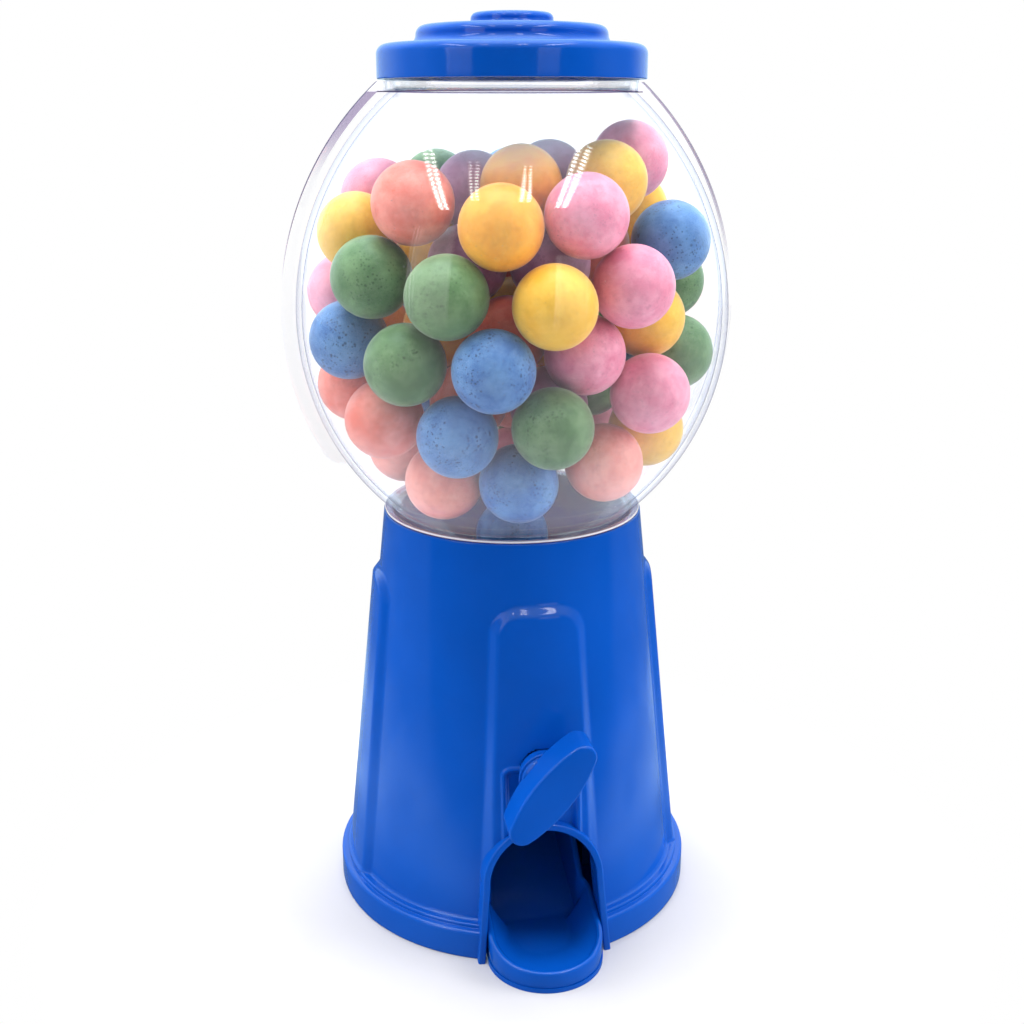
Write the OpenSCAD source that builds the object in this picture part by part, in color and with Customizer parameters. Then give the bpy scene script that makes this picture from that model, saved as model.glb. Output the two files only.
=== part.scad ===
// Gumball machine: a conical base with a turning knob and a tray, a clear two-part globe
// full of gumballs, and a lift-off lid. The front faces -Y and the base stands on z = 0.

/* [Base housing] */
// Height of the housing, from the floor to its top edge
base_h = 88; // [80:0.1:95]
// Radius of the cone's outside at its top edge
base_top_r = 27.8; // [27:0.1:29]
// Radius of the cone's outside, carried down to the floor
base_foot_r = 37.3; // [36.5:0.1:38.5]
// Thickness of the housing's wall
base_wall = 1.8; // [1.4:0.1:2.2]
// Outer radius of the foot rim
rim_r = 40; // [39.5:0.1:42]
// Height of the foot rim
rim_h = 7.2; // [6:0.1:9]
// Radius of the foot rim's rounded top edge
rim_round = 2.2; // [1:0.1:2.6]
// How far the four arched panels stand out of the cone
panel_proud = 1.4; // [0.8:0.1:1.8]
// Height of the panels' tops above the floor
panel_h = 75; // [68:0.5:80]
// Half the width of a panel at its top
panel_top_w = 9.4; // [8:0.1:11]
// Half the width of a panel at the floor
panel_foot_w = 12.8; // [11:0.1:14]
// Radius of a panel's top corners
panel_corner = 6; // [3:0.1:8]

/* [Outlet] */
// Radius of the outlet's arch
outlet_r = 11.3; // [10:0.1:12]
// Height of the arch's centre above the floor
outlet_z = 16.9; // [14:0.1:18]
// Half the width of the outlet at the floor
outlet_foot_w = 12.8; // [12.5:0.1:13.5]
// Width of the raised lip round the outlet
lip_w = 1.5; // [1:0.1:2]
// How far the lip stands out of the front panel
lip_proud = 0.6; // [0.3:0.1:1]

/* [Knob] */
// Height of the knob's axis above the floor
knob_z = 41.5; // [40.5:0.1:44]
// Length of the knob's lever
knob_len = 25; // [22:0.5:28]
// Half the width of the lever at its middle
knob_mid_w = 4.4; // [3.5:0.1:6]
// Radius of the lever's ends
knob_end_r = 2.8; // [2:0.1:3.4]
// Thickness of the lever
knob_t = 7.3; // [4:0.1:8]
// Angle of the lever from upright, leaning to the right at rest
knob_lean = 38; // [0:1:90]
// Distance of the knob's face in front of the axis of the base
knob_face = 45.6; // [45.5:0.1:49]
// Radius of the knob's round hub
hub_r = 5.6; // [5:0.1:7]
// how much smaller the hub is at the back
hub_taper = 0.7; // [0:0.1:1.5]
// Radius of the knob's shaft
shaft_r = 4; // [3.5:0.1:4.5]
// Side of the square end of the shaft, which turns the wheel
tenon_w = 5; // [4:0.1:5.4]
// Half the width of the recess behind the knob
recess_w = 7; // [6.5:0.1:9]
// Depth of the recess below the panel's face
recess_deep = 1; // [0.5:0.1:1.2]
// Width of the raised frame round the recess
frame_w = 1; // [0.6:0.1:1.4]
// How far that frame stands out of the panel
frame_proud = 0.4; // [0.2:0.1:0.6]
// Height of the recess's top edge above the floor
recess_top = 41.3; // [39:0.1:45]

/* [Wheel and cradle] */
// Radius of the dispensing wheel
wheel_r = 15.2; // [14.8:0.1:15.6]
// Wall left at each end of the wheel beside its pocket
wheel_end = 1.5; // [1:0.1:2]
// Radial room round a gumball in the wheel's pocket
pocket_gap = 0.5; // [0.3:0.1:0.9]
// Radius of the stub at the wheel's rear end
stub_r = 3.5; // [3:0.1:4]
// Radial clearance of the shaft and the stub in their bearings
run_gap = 0.06; // [0.02:0.01:0.1]
// Gap between the wheel and the pieces round it
wheel_gap = 0.5; // [0.4:0.1:0.8]
// Thickness of the cradle's walls
cradle_t = 1.6; // [1.2:0.1:2]

/* [Tray and plate] */
// Half the outer width of the tray
tray_w = 12; // [11.5:0.1:12.3]
// Reach of the tray's round tip in front of the axis of the base
tray_reach = 50.8; // [49:0.1:53]
// Height of the tray's front lip above the floor
tray_lip_z = 4.6; // [4:0.1:6]
// Height of the tray's floor above the floor
tray_floor_z = 2; // [1.8:0.1:2.4]
// Thickness of the tray's walls at their top edge
tray_wall = 1.3; // [1:0.1:1.8]
// Thickness of the bottom plate
plate_t = 1.8; // [1.4:0.1:2.2]
// Thickness of the plate's tongue under the tray
tongue_t = 1; // [0.8:0.1:1.2]

/* [Hopper] */
// Thickness of the hopper's rim, which shows above the base
hopper_rim_t = 0.6; // [0.4:0.1:1.6]
// Thickness of the hopper's funnel
hopper_wall = 1.2; // [1:0.1:1.6]
// Inner radius of the throat, which passes one gumball
throat_r = 9.6; // [9:0.1:10]
// Slope of the funnel, from level
funnel_slope = 36; // [30:1:45]

/* [Globe] */
// Outer radius of the globe at its widest
globe_r = 44.6; // [43:0.1:46]
// Height of the widest place above the globe's foot
globe_belly = 40.7; // [38:0.1:43]
// Radius of the curve of the globe's wall below the belly
lower_curve = 52.9; // [52:0.1:56]
// Radius of the curve of the globe's wall above the belly
upper_curve = 58.9; // [56:0.1:62]
// Thickness of the globe's wall
globe_wall = 1.2; // [0.9:0.1:1.6]
// Height of the neck ring's lower edge above the globe's foot
neck_z = 85; // [83:0.1:86]
// Outer radius of the neck ring
neck_r = 25; // [24.6:0.1:25.4]
// Height of the neck ring
neck_h = 7.2; // [6:0.1:8]
// How far the side flanges stand out of the globe
flange_w = 3; // [2:0.1:4]
// Thickness of each half's flange
flange_t = 1; // [0.8:0.1:1.4]
// Height of the flanges' lower ends above the globe's foot
flange_z = 13; // [10:0.5:20]

/* [Lid] */
// Outer radius of the lid's brim
lid_r = 26.7; // [26.6:0.1:28]
// Height of the brim
brim_h = 6.5; // [5.5:0.1:8]
// Radius of the middle tier
tier_r = 18.9; // [17:0.1:20]
// Height of the middle tier above the brim
tier_h = 3.5; // [3:0.1:4.5]
// Radius of the top tier
crown_r = 8.1; // [7:0.1:10]
// Height of the top tier above the middle tier
crown_h = 2.4; // [2:0.1:3.5]
// Thickness of the lid
lid_wall = 1.4; // [1.2:0.1:1.5]
// Gap between the lid and the neck
lid_gap = 0.3; // [0.2:0.05:0.4]
// Height of the neck ring that shows under the lid
neck_show = 2.3; // [1.5:0.1:3]

/* [Gumballs] */
// Diameter of a gumball
ball_d = 16; // [15:0.1:16.2]
// Gap left between gumballs that touch
ball_gap = 0.06; // [0.04:0.01:0.2]

/* [Fasteners] */
// Diameter of the screws
screw_d = 2.6; // [2.2:0.1:3]
// Diameter of the screws' heads
head_d = 5; // [4.4:0.1:5.4]
// Length of the screws' shanks
screw_len = 8; // [6:0.5:10]
// Outer radius of the screw bosses
boss_r = 3.2; // [2.8:0.1:3.6]
// Distance of the bosses' middles inside the cone's outside at the floor
boss_in = 7.1; // [6.7:0.1:7.8]

/* [Hidden] */
$fn = 96;

BLUE = [0.04, 0.24, 0.72];
CLEAR = [0.85, 0.9, 0.95, 0.3];
STEEL = [0.7, 0.7, 0.72];
eps = 0.01;
far = 200;               // longer than any cut needs to be

// Heights that the pieces share
globe_z = base_h + hopper_rim_t;
belly_z = globe_z + globe_belly;
neck_z0 = globe_z + neck_z;
neck_z1 = neck_z0 + neck_h;
lid_z = neck_z0 + neck_show;
ball_r = ball_d / 2;
pitch = ball_d + ball_gap;

// Radius of the cone's outside at height z, moved out by off
function cone_r(z, off = 0) = base_foot_r + off + (base_top_r - base_foot_r) * z / base_h;
cone_lean = atan((base_foot_r - base_top_r) / base_h);

// A quarter turn round the base's axis for each of four
module four() for (a = [0:3]) rotate(90 * a) children();

// A block from the axis out to x and up to y, with its outer top corner rounded
module rounded_step(x, y, r) {
    square([x - r, y]);
    square([x, y - r]);
    translate([x - r, y - r]) circle(r);
}

// A concave fillet that stands in the inner corner at x, y
module inner_fillet(x, y, r) translate([x, y]) difference() {
    square(r);
    translate([r, r]) circle(r);
}

// Pushes an outline in the XZ plane forward, from y = back to y = front
module forward(back, front) translate([0, back, 0]) rotate([90, 0, 0]) linear_extrude(back - front) children();

// A cylinder along Y, from y = front to y = back, at the knob's height
module y_rod(r, front, back, z = knob_z) translate([0, back, z]) rotate([90, 0, 0]) cylinder(h = back - front, r = r);

// ---------------------------------------------------------------- base housing

module cone(off, z0 = 0, z1 = base_h) translate([0, 0, z0])
    cylinder(h = z1 - z0, r1 = cone_r(z0, off), r2 = cone_r(z1, off));

module panel_outline() {
    polygon([[-panel_foot_w, 0], [panel_foot_w, 0],
             [panel_top_w, panel_h - panel_corner], [-panel_top_w, panel_h - panel_corner]]);
    for (s = [-1, 1])
        translate([s * (panel_top_w - panel_corner), panel_h - panel_corner]) circle(panel_corner);
    translate([panel_corner - panel_top_w, 0]) square([2 * (panel_top_w - panel_corner), panel_h]);
}

module outlet_outline(off = 0) {
    translate([0, outlet_z]) circle(outlet_r + off);
    polygon([[-outlet_foot_w - off, -1], [outlet_foot_w + off, -1],
             [outlet_r + off, outlet_z], [-outlet_r - off, outlet_z]]);
}

module panels() intersection() {
    cone(panel_proud);
    four() forward(0, -far) panel_outline();
}

module outlet_lip() intersection() {
    forward(-base_foot_r / 2, -far) outlet_outline(lip_w);
    translate([-far / 2, -base_foot_r - panel_proud - lip_proud, 0]) rotate([-cone_lean, 0, 0])
        translate([0, 0, -far / 2]) cube([far, far, far]);
    translate([0, 0, far / 2]) cube([far, far, far], center = true);
}

module foot_rim() rotate_extrude() {
    rounded_step(rim_r, rim_h - rim_round / 3, rim_round);
    rounded_step(rim_r - 0.7 * rim_round, rim_h, rim_round / 3);
    inner_fillet(cone_r(rim_h), rim_h, (rim_r - 0.8 * rim_round - cone_r(rim_h)) / 2);
}

rim_wall_r = rim_r - base_wall;
boss_at = base_foot_r - boss_in;      // distance of the bosses from the axis
boss_z0 = plate_t + 1.6;
boss_z1 = boss_z0 + screw_len + 4;
sleeve_r = shaft_r + 2.4;
sleeve_len = 7;           // how far the knob's sleeve reaches in from the wall
sleeve_back = cone_r(knob_z) - sleeve_len;

module housing_bosses() intersection() {
    union() for (a = [45:90:315]) rotate(a) {
        translate([boss_at, 0, boss_z0]) cylinder(h = boss_z1 - boss_z0, r = boss_r);
        translate([boss_at, -0.8, boss_z0]) cube([far, 1.6, boss_z1 - boss_z0]);
    }
    cone(-base_wall / 2);
}

module housing_sleeve() intersection() {
    y_rod(sleeve_r, -far, -sleeve_back);
    cone(-base_wall / 2);
}

// the raised frame round the recess
module recess_frame() intersection() {
    forward(0, -far) translate([-recess_w - frame_w, outlet_z])
        square([2 * (recess_w + frame_w), recess_top + frame_w - outlet_z]);
    cone(panel_proud + frame_proud, outlet_z, recess_top + 2 * frame_w);
}

module knob_recess() difference() {
    forward(0, -far) translate([-recess_w, outlet_z]) square([2 * recess_w, recess_top - outlet_z]);
    cone(panel_proud - recess_deep, 0, base_h);
}

module base_housing() color(BLUE) difference() {
    union() {
        difference() {
            union() {
                cone(0);
                foot_rim();
                panels();
                outlet_lip();
                recess_frame();
            }
            cone(-base_wall, -eps, base_h + eps);
            translate([0, 0, -eps]) cylinder(h = plate_t + eps, r = rim_wall_r);
            rotate_extrude() translate([cone_r(0) - eps, 0]) square([rim_wall_r - cone_r(0), rim_h - base_wall - 1]);
            knob_recess_cut();
        }
        housing_bosses();
        housing_sleeve();
    }
    forward(-base_foot_r / 3, -far) outlet_outline();
    y_rod(shaft_r + run_gap, -far, 0);
    for (a = [45:90:315]) rotate(a) translate([boss_at, 0, boss_z0 - eps])
        cylinder(h = screw_len - 1, r = pilot_r);
}

module knob_recess_cut() difference() {
    knob_recess();
    forward(0, -far) outlet_outline(lip_w);
}

// ---------------------------------------------------------------- knob and wheel

wheel_half = ball_r + pocket_gap + wheel_end;
wheel_boss_r = tenon_w / sqrt(2) + 1.8;
tenon_len = 7.5;         // length of the square end of the shaft
tenon_front = -wheel_half - tenon_len - 1.5;
tenon_back = -wheel_half - 1.5;
pilot_r = screw_d / 2 - 0.3;       // holes that the screws cut their threads in
shank_r = screw_d / 2 - 0.35;
pass_r = screw_d / 2 + 0.15;       // holes that the screws pass through
sweep_gap = 0.3;         // between the wheel and the gumball that rests over it
knob_back = -knob_face + knob_t;
hub_gap = 0.3;           // between the hub and the housing's front
hub_back = -cone_r(recess_top, panel_proud + frame_proud) - hub_gap;

module lever_outline() {
    end_at = knob_len / 2 - knob_end_r;
    // each side is an arc through the middle of the lever that meets the round ends
    rise = knob_mid_w - knob_end_r;
    side_r = (end_at * end_at + rise * rise) / (2 * rise);
    intersection() {
        translate([knob_mid_w - side_r - knob_end_r, 0]) circle(side_r + knob_end_r, $fn = 360);
        translate([side_r + knob_end_r - knob_mid_w, 0]) circle(side_r + knob_end_r, $fn = 360);
        square([far, 2 * end_at], center = true);
    }
    for (s = [-1, 1]) translate([0, s * end_at]) circle(knob_end_r);
}

module knob() color(BLUE) {
    translate([0, knob_back, knob_z]) rotate([90, 0, 0]) rotate(-knob_lean)
        linear_extrude(knob_t) lever_outline();
    translate([0, hub_back, knob_z]) rotate([90, 0, 0])
        cylinder(h = hub_back - knob_back + eps, r1 = hub_r - hub_taper, r2 = hub_r);
    y_rod(shaft_r, hub_back - eps, tenon_front + eps);
    translate([0, tenon_back - (tenon_back - tenon_front) / 2, knob_z]) rotate([90, 0, 0])
        cube([tenon_w, tenon_w, tenon_back - tenon_front], center = true);
}

pocket_r = ball_r + pocket_gap;
// the gumball in the pocket stays inside the wheel's outline
pocket_ball = wheel_r - ball_r - 0.4;
stub_back = wheel_half + wheel_gap + 2 * cradle_t + 0.2;
socket_gap = 0.3;        // room at the ends of the wheel's square socket

module dispensing_wheel() color("white") difference() {
    union() {
        y_rod(wheel_r, -wheel_half, wheel_half);
        y_rod(wheel_boss_r, tenon_front + socket_gap, -wheel_half + eps);
        y_rod(stub_r, wheel_half - eps, stub_back);
    }
    translate([0, 0, knob_z + pocket_ball]) sphere(pocket_r);
    translate([0, 0, knob_z + pocket_ball]) cylinder(h = wheel_r, r = pocket_r);
    translate([0, (tenon_back - far) / 2 + socket_gap, knob_z])
        cube([tenon_w + 2 * run_gap, far, tenon_w + 2 * run_gap], center = true);
    y_rod(pilot_r, stub_back - screw_len + 1.5, stub_back + eps);
    wheel_lightening();
}

// blind pockets in the wheel's rear face, which keep its walls even
blind_at = 10.4;         // distance of those pockets from the wheel's axis
blind_r = 3;
blind_deep = 5;
module wheel_lightening() for (a = [150, 210])
    translate([0, 0, knob_z]) rotate([0, a, 0]) translate([0, wheel_half - blind_deep, blind_at])
        rotate([-90, 0, 0]) cylinder(h = blind_deep + 1, r = blind_r);

washer_t = 0.8;
module wheel_washer() color(STEEL) difference() {
    y_rod(stub_r + 1.2, stub_back, stub_back + washer_t);
    y_rod(pass_r, stub_back - eps, stub_back + washer_t + eps);
}

// A pan-head screw that points along +Z, with its head's seat at z = 0
head_h = 1.5;
module screw(len = screw_len) {
    cylinder(h = len, r = shank_r);
    difference() {
        translate([0, 0, -head_h]) cylinder(h = head_h, r1 = head_d / 2 - 0.5, r2 = head_d / 2);
        for (a = [0, 90]) rotate(a) translate([0, 0, -head_h]) cube([2.8, 0.6, 1.4], center = true);
    }
}

module wheel_screw() color(STEEL)
    translate([0, stub_back + washer_t, knob_z]) rotate([90, 0, 0]) screw(screw_len - 2);

// The cradle: a rear wall with the bearing, curved guards beside the wheel and two feet
guard_r = wheel_r + wheel_gap;
cradle_back = wheel_half + wheel_gap + 2 * cradle_t;
leg_x = guard_r + cradle_t - 1;
leg_w = 3.2;
screw_out = 6;           // from the cradle's legs out to its screws
foot_x = leg_x + screw_out;
foot_end = foot_x + 3.4;
foot_w = 10;
foot_t = 2.4;
guard_reach = 0.64 * guard_r;      // the guards end this far above and below the wheel's axis
wall_reach = 0.85 * guard_r;       // and the rear wall this far

module wheel_cradle() color(BLUE) difference() {
    union() {
        // guards
        intersection() {
            difference() {
                y_rod(guard_r + cradle_t, -wheel_half, cradle_back);
                y_rod(guard_r, -wheel_half - eps, wheel_half + wheel_gap);
            }
            translate([0, 0, knob_z]) cube([far, far, 2 * guard_reach], center = true);
        }
        // rear wall
        intersection() {
            y_rod(guard_r + cradle_t, cradle_back - 2 * cradle_t, cradle_back);
            translate([0, 0, knob_z]) cube([far, far, 2 * wall_reach], center = true);
        }
        // legs and feet
        for (s = [-1, 1]) {
            translate([s * leg_x - leg_w / 2, -wheel_half, plate_t])
                cube([leg_w, wheel_half + cradle_back, knob_z - plate_t]);
            translate([s > 0 ? leg_x : -foot_end, -foot_w / 2, plate_t]) cube([foot_end - leg_x, foot_w, foot_t]);
        }
    }
    y_rod(guard_r, -wheel_half - eps, wheel_half + wheel_gap);
    y_rod(stub_r + run_gap, 0, far);
    for (s = [-1, 1]) translate([s * foot_x, 0, plate_t - eps]) cylinder(h = far, r = pilot_r);
}

// ---------------------------------------------------------------- tray and plate

tray_end = tray_w;                       // radius of the tray's round tip
tray_arc_y = -tray_reach + tray_end;     // centre of that arc
tray_back = wheel_half + 1;              // the ramp reaches behind the wheel
ramp_y = -28;                            // the ramp meets the tray's floor here
ramp_z = 12.4;                             // height of the ramp at its rear end
tray_cut_h = 8;                          // the hollow reaches this far above the front lip
tray_side_z = 10;                        // height of the tray's sides where the ramp begins
chute_w = tray_w - 1.2;                  // half the outer width of the ramp
chute_z = 24;                            // height of the ramp's walls at the rear
seat_t = 1.2;                            // metal under the heads of the plate's screws
flat_head = 0.6;                         // thickness of the heads of the cradle's screws
hollow_w = 6;                            // half the width of the tray's flat floor
bend_y = -41;                            // the tray's top edge bends up here
bend_z = 6.2;

// The tray seen from above, with its round tip, moved out by off and cut off behind at y = back
module tray_plan(off, back = ramp_y) {
    translate([0, tray_arc_y]) circle(tray_end + off);
    translate([-tray_w - off, tray_arc_y]) square([2 * (tray_w + off), back - tray_arc_y]);
}

module chute_tray() color(BLUE) difference() {
    intersection() {
        union() {
            translate([0, 0, tongue_t]) linear_extrude(far) tray_plan(0);
            translate([-chute_w, ramp_y - eps, plate_t]) cube([2 * chute_w, tray_back - ramp_y, far]);
        }
        // the walls' top edges climb from the front lip to the rear
        rotate([90, 0, 90]) translate([0, 0, -far / 2]) linear_extrude(far)
            polygon([[-tray_reach, tongue_t], [-tray_reach, tray_lip_z], [bend_y, bend_z], [ramp_y, tray_side_z],
                     [-wheel_half, chute_z], [tray_back, chute_z], [tray_back, ramp_z - 3], [tray_back - 4, plate_t]]);
    }
    // the tray's hollow: a flat floor whose sides and front slope up to the lip
    hull() {
        translate([0, tray_arc_y + 5, tray_floor_z]) linear_extrude(eps) union() {
            circle(hollow_w);
            translate([-hollow_w, 0]) square([2 * hollow_w, ramp_y - tray_arc_y - 4]);
        }
        translate([0, 0, tray_lip_z - 0.6]) linear_extrude(eps) tray_plan(-tray_wall - 0.3, ramp_y + 1);
        translate([0, 0, tray_lip_z + tray_cut_h]) linear_extrude(eps) tray_plan(-tray_wall, ramp_y + 1);
    }
    // the ramp's channel
    rotate([90, 0, 90]) translate([0, 0, -chute_w + tray_wall]) linear_extrude(2 * (chute_w - tray_wall))
        polygon([[ramp_y - 4, tray_floor_z], [ramp_y, tray_floor_z], [tray_back - 1.5, ramp_z],
                 [tray_back - 1.5, far], [ramp_y - 4, far]]);
}

module bottom_plate() color(BLUE) difference() {
    union() {
        cylinder(h = plate_t, r = rim_wall_r - 0.3);
        linear_extrude(tongue_t) tray_plan(0.2, 0);
        for (a = [45:90:315]) rotate(a) translate([boss_at, 0, 0]) cylinder(h = boss_z0, r = boss_r);
    }
    // room for the tray over the tongue
    translate([0, 0, tongue_t]) linear_extrude(far) tray_plan(0.2);
    for (a = [45:90:315]) rotate(a) translate([boss_at, 0, -eps]) {
        cylinder(h = far, r = pass_r);
        cylinder(h = boss_z0 - seat_t + eps, r = head_d / 2 + 0.3);
    }
    for (s = [-1, 1]) translate([s * foot_x, 0, -eps]) {
        cylinder(h = far, r = pass_r);
        cylinder(h = flat_head + eps, r = head_d / 2 + 0.3);
    }
}

module bottom_plate_screws() color(STEEL) for (a = [45:90:315])
    rotate(a) translate([boss_at, 0, boss_z0 - seat_t]) screw(screw_len - 2);

module cradle_screws() color(STEEL) for (s = [-1, 1]) translate([s * foot_x, 0, 0]) {
    cylinder(h = flat_head, r = head_d / 2);
    cylinder(h = plate_t + foot_t - 0.6, r = shank_r);
}

// ---------------------------------------------------------------- hopper

funnel_top_r = globe_in(globe_z);
funnel_z0 = base_h + hopper_rim_t - (funnel_top_r - throat_r) * tan(funnel_slope);
throat_z0 = knob_z + wheel_r + wheel_gap;
hopper_plug_r = cone_r(base_h) - base_wall - 0.15;

module hopper_section() difference() {
    union() {
        translate([0, base_h]) square([base_top_r - 0.2, hopper_rim_t]);
        translate([0, base_h - 3]) square([hopper_plug_r, 3 + eps]);
        polygon([[0, funnel_z0 - hopper_wall], [throat_r + hopper_wall, funnel_z0 - hopper_wall],
                 [hopper_plug_r, base_h - 3], [0, base_h - 3 + eps]]);
        translate([0, throat_z0]) square([throat_r + hopper_wall, funnel_z0 - throat_z0]);
    }
    translate([0, throat_z0 - 1]) square([throat_r, far]);
    polygon([[0, funnel_z0], [throat_r, funnel_z0], [funnel_top_r, globe_z], [funnel_top_r, globe_z + 1],
             [0, globe_z + 1]]);
    // a groove under the rim thins the plug down to a ring
    polygon([[funnel_top_r, base_h - 3.2], [hopper_plug_r - 1.2, base_h - 3.2],
             [hopper_plug_r - 1.2, base_h - 1.2]]);
}

module hopper() color(CLEAR) rotate_extrude() hopper_section();

// ---------------------------------------------------------------- globe

// Radius of the globe's inside at height z
function globe_in(z) = z > belly_z
    ? globe_r - upper_curve + sqrt(pow(upper_curve - globe_wall, 2) - pow(z - belly_z, 2))
    : globe_r - lower_curve + sqrt(pow(lower_curve - globe_wall, 2) - pow(z - belly_z, 2));

// Half section of the globe, moved out by off
module globe_half_section(off) {
    intersection() {
        translate([globe_r - lower_curve, belly_z]) circle(lower_curve + off, $fn = 360);
        translate([0, globe_z]) square([far, belly_z - globe_z]);
    }
    intersection() {
        translate([globe_r - upper_curve, belly_z]) circle(upper_curve + off, $fn = 360);
        translate([0, belly_z - eps]) square([far, neck_z0 + neck_show - belly_z]);
    }
}

module globe_wall_section() {
    difference() {
        union() {
            globe_half_section(0);
            translate([0, neck_z0]) square([neck_r, neck_h]);
        }
        globe_half_section(-globe_wall);
        translate([0, neck_z0 - 4]) square([neck_r - 1.6, far]);
        translate([0, globe_z - 1]) square([funnel_top_r, 2]);
    }
}

flange_gap = 0.4;         // under the lid's rim
module flange_outline() for (s = [0, 1]) mirror([s, 0]) difference() {
    union() {
        intersection() {
            globe_half_section(flange_w);
            translate([0, globe_z + flange_z]) square([far, neck_z0 + neck_show - flange_gap - globe_z - flange_z]);
        }
        // the lower end is round
        translate([globe_in(globe_z + flange_z) + globe_wall, globe_z + flange_z]) circle(flange_w);
    }
    globe_half_section(-globe_wall / 2);
    translate([0, neck_z0]) square([neck_r - 0.5, far]);
}

// side is -1 for the front half and 1 for the rear half
module globe_half(side) color(CLEAR) {
    intersection() {
        rotate_extrude() globe_wall_section();
        translate([-far, side > 0 ? 0 : -2 * far, 0]) cube([2 * far, 2 * far, 2 * far]);
    }
    forward(side > 0 ? flange_t : 0, side > 0 ? 0 : -flange_t) flange_outline();
}

module globe_front_half() globe_half(-1);
module globe_rear_half() globe_half(1);

// ---------------------------------------------------------------- lid

module lid_outline(wall, round) {
    rounded_step(lid_r - wall, brim_h - wall, round);
    rounded_step(tier_r - wall, brim_h + tier_h - wall, round);
    rounded_step(crown_r - wall, brim_h + tier_h + crown_h - wall, 0.8 * round);
}

module lid_section() difference() {
    union() {
        lid_outline(0, 1.9);
        inner_fillet(tier_r, brim_h, 2.6);
        inner_fillet(crown_r, brim_h + tier_h, 1.8);
    }
    translate([0, -eps]) lid_outline(lid_wall, 0.5);
}

module lid() color(BLUE) translate([0, 0, lid_z]) rotate_extrude() {
    lid_section();
    // the plug that goes inside the neck
    translate([neck_r - 1.6 - lid_gap - 1.2, 1.2]) square([1.2, brim_h - lid_wall - 1.2 + eps]);
}

// ---------------------------------------------------------------- gumballs

// Gumballs in the order they settle, each with its direction round the globe in degrees
// (0 is the front, + is to the right), its centre's distance from the axis, and its colour
HEAP = [
    // in the throat and up the middle
    [0, 0, "red"], [0, 0, "blue"], [0, 0, "pink"],
    // the lowest ring, on the funnel's rim
    [-48, 22.5, "salmon"], [-7, 23.5, "blue"], [35, 26, "salmon"], [72, 28.5, "yellow"], [115, 24, "pink"],
    [158, 23, "green"], [201, 23, "coral"], [248, 24, "salmon"],
    // the second ring, and the gumballs inside it
    [-30, 31, "blue"], [4, 31.5, "green"], [-64, 31.5, "coral"], [-97, 33, "coral"], [44, 33.5, "pink"],
    [109, 33, "blue"], [141, 31, "yellow"], [180, 31, "pink"], [223, 31, "orange"],
    [17, 16.2, "mauve"], [77, 16.2, "green"], [137, 16.2, "orange"], [197, 16.2, "yellow"],
    [257, 16.2, "blue"], [-43, 16.2, "coral"], [0, 0, "salmon"],
    // the third ring
    [-47, 34, "green"], [-16, 34, "blue"], [21, 27, "pink"], [82, 34.6, "green"], [57, 29, "yellow"],
    [-78, 35.2, "blue"], [122, 34.4, "coral"], [150, 34, "salmon"], [178, 34, "green"], [206, 34, "blue"],
    [234, 34, "yellow"],
    [-13, 16.2, "red"], [107, 16.2, "green"], [167, 16.2, "coral"], [227, 16.2, "pink"],
    [-73, 16.2, "orange"], [0, 0, "yellow"],
    // the widest rings
    [-104, 35, "pink"], [95, 34.4, "green"], [136, 33.3, "yellow"], [164, 33.8, "pink"], [192, 33.8, "orange"],
    [220, 33.8, "salmon"],
    [-31, 34, "green"], [3, 34.4, "yellow"], [32, 34, "pink"], [-63, 33.8, "green"], [66, 32.6, "blue"],
    [17, 16.2, "mauve"], [77, 16.2, "salmon"], [137, 16.2, "blue"], [197, 16.2, "pink"], [257, 16.2, "yellow"],
    [-43, 16.2, "mauve"],
    // the top of the heap
    [-88, 31.8, "yellow"], [-14, 30.8, "orange"], [17, 30, "pink"], [110, 29.6, "yellow"],
    [-116, 29, "pink"], [-52, 28, "coral"], [-85, 8, "mauve"], [105, 8.4, "mauve"],
    [-4, 16, "orange"], [87, 24.2, "pink"], [46, 22, "yellow"],
    [170, 28, "blue"], [206, 28, "green"],
];

// Height at which a gumball dropped at distance d from the axis meets the funnel or the globe
function floor_z(d) = d < throat_r - ball_r ? knob_z + wheel_r + sweep_gap + ball_r : max(
    funnel_z0 + (d - throat_r) * tan(funnel_slope) + ball_r / cos(funnel_slope),
    belly_z - sqrt(pow(lower_curve - globe_wall - ball_r - ball_gap, 2) - pow(d - globe_r + lower_curve, 2)));

// Height at which it meets the gumballs that lie there already
function heap_z(x, y, placed) = max(concat([0], [for (b = placed)
    let (d = norm([b[0] - x, b[1] - y])) if (d < pitch) b[2] + sqrt(pitch * pitch - d * d)]));

function settle(i = 0, placed = []) = i == len(HEAP) ? placed :
    let (x = HEAP[i][1] * sin(HEAP[i][0]), y = -HEAP[i][1] * cos(HEAP[i][0]))
    settle(i + 1, concat(placed, [[x, y, max(floor_z(HEAP[i][1]), heap_z(x, y, placed)), HEAP[i][2]]]));

module gumballs(colour) for (b = settle()) if (b[3] == colour)
    translate([b[0], b[1], b[2]]) sphere(ball_r);

module gumball_in_wheel() color([0.91, 0.5, 0.68]) translate([0, 0, knob_z + pocket_ball]) sphere(ball_r);

module gumballs_pink() color([0.91, 0.5, 0.68]) gumballs("pink");
module gumballs_coral() color([0.92, 0.45, 0.4]) gumballs("coral");
module gumballs_salmon() color([0.94, 0.6, 0.55]) gumballs("salmon");
module gumballs_yellow() color([0.96, 0.8, 0.25]) gumballs("yellow");
module gumballs_orange() color([0.95, 0.6, 0.15]) gumballs("orange");
module gumballs_red() color([0.85, 0.3, 0.15]) gumballs("red");
module gumballs_green() color([0.3, 0.55, 0.3]) gumballs("green");
module gumballs_blue() color([0.35, 0.6, 0.85]) gumballs("blue");
module gumballs_mauve() color([0.75, 0.5, 0.65]) gumballs("mauve");

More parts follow.
